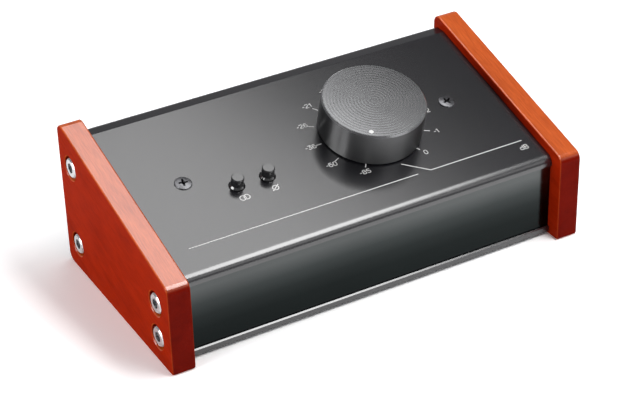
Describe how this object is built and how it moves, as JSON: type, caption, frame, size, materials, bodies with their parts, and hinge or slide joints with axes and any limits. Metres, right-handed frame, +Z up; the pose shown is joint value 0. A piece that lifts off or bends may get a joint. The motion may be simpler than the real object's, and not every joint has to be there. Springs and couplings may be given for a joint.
{
  "type": "desktop volume controller",
  "caption": "Desktop volume controller: sloped metal case between wooden cheeks, with one large turning knob, sprung push buttons and a row of rear sockets.",
  "frame": {"origin": "on the table, under the middle of the case's outer box", "axes": "+X along the width to the user's right, -Y towards the user, +Z up"},
  "size_m": [0.19, 0.097, 0.0701],
  "materials": {
    "panel_metal": "fine bead-blasted and anodised gunmetal grey",
    "front_plate_metal": "polished and anodised dark green-grey",
    "rear_metal": "satin black anodised look",
    "cheek_wood": "red-orange stained hardwood under gloss lacquer",
    "dark_steel": "black oxide",
    "bright_steel": "bright nickel plate",
    "knob_metal": "turned and satin anodised near-black",
    "white_paint": "white inlay",
    "black_plastic": "glossy black",
    "housing_plastic": "matt black moulded",
    "socket_metal": "black chromed die casting",
    "board": "green solder mask",
    "brass": "plain turned brass",
    "spring_steel": "drawn wire",
    "cable_grey": "grey vinyl",
    "ceramic": "chip resistor body"
  },
  "bodies": {
    "chassis": {"top_shell": "panel_metal", "bottom_shell": "panel_metal", "front_plate": "front_plate_metal", "rear_plate": "rear_metal", "left_cheek": "cheek_wood", "right_cheek": "cheek_wood", "left_cheek_screws": "bright_steel", "right_cheek_screws": "bright_steel", "panel_screws": "dark_steel", "board_posts": "brass", "board_screws": "bright_steel", "main_board": "board", "summing_resistors": "ceramic", "attenuator_housing": "housing_plastic", "attenuator_cover": "housing_plastic", "attenuator_bush": "brass", "attenuator_washer": "bright_steel", "attenuator_nut": "bright_steel", "attenuator_terminals": "brass", "connector_screws": "dark_steel", "stereo_jack": "housing_plastic", "stereo_jack_nut": "bright_steel", "socket_board": "board", "board_headers": "housing_plastic", "ribbon_cable": "cable_grey", "left_switch_housing": "housing_plastic", "left_switch_spring": "spring_steel", "left_input_shell": "socket_metal", "left_input_insert": "housing_plastic", "left_output_shell": "socket_metal", "left_output_insert": "housing_plastic", "left_output_pins": "bright_steel", "right_switch_housing": "housing_plastic", "right_switch_spring": "spring_steel", "right_input_shell": "socket_metal", "right_input_insert": "housing_plastic", "right_output_shell": "socket_metal", "right_output_insert": "housing_plastic", "right_output_pins": "bright_steel"},
    "dial": {"knob": "knob_metal", "pointer_dot": "white_paint", "knob_grub_screw": "dark_steel", "attenuator_shaft": "brass", "attenuator_rotor": "housing_plastic"},
    "left_button": {"left_button_cap": "black_plastic", "left_button_stem": "white_paint"},
    "right_button": {"right_button_cap": "black_plastic", "right_button_stem": "white_paint"}
  },
  "joints": [
    {"name": "dial_turn", "type": "hinge", "parent": "chassis", "child": "dial", "pos_m": [0.0231, 0.00097, 0.04921], "axis": [0, 0.2635, -0.9646], "range_deg": [0, 292]},
    {"name": "left_button_press", "type": "slide", "parent": "chassis", "child": "left_button", "axis": [0, 0.2635, -0.9646], "range_m": [0, 0.0025], "stiffness_N_per_m": 400, "springref_m": -0.001, "deforming": ["left_switch_spring"]},
    {"name": "right_button_press", "type": "slide", "parent": "chassis", "child": "right_button", "axis": [0, 0.2635, -0.9646], "range_m": [0, 0.0025], "stiffness_N_per_m": 400, "springref_m": -0.001, "deforming": ["right_switch_spring"]}
  ]
}
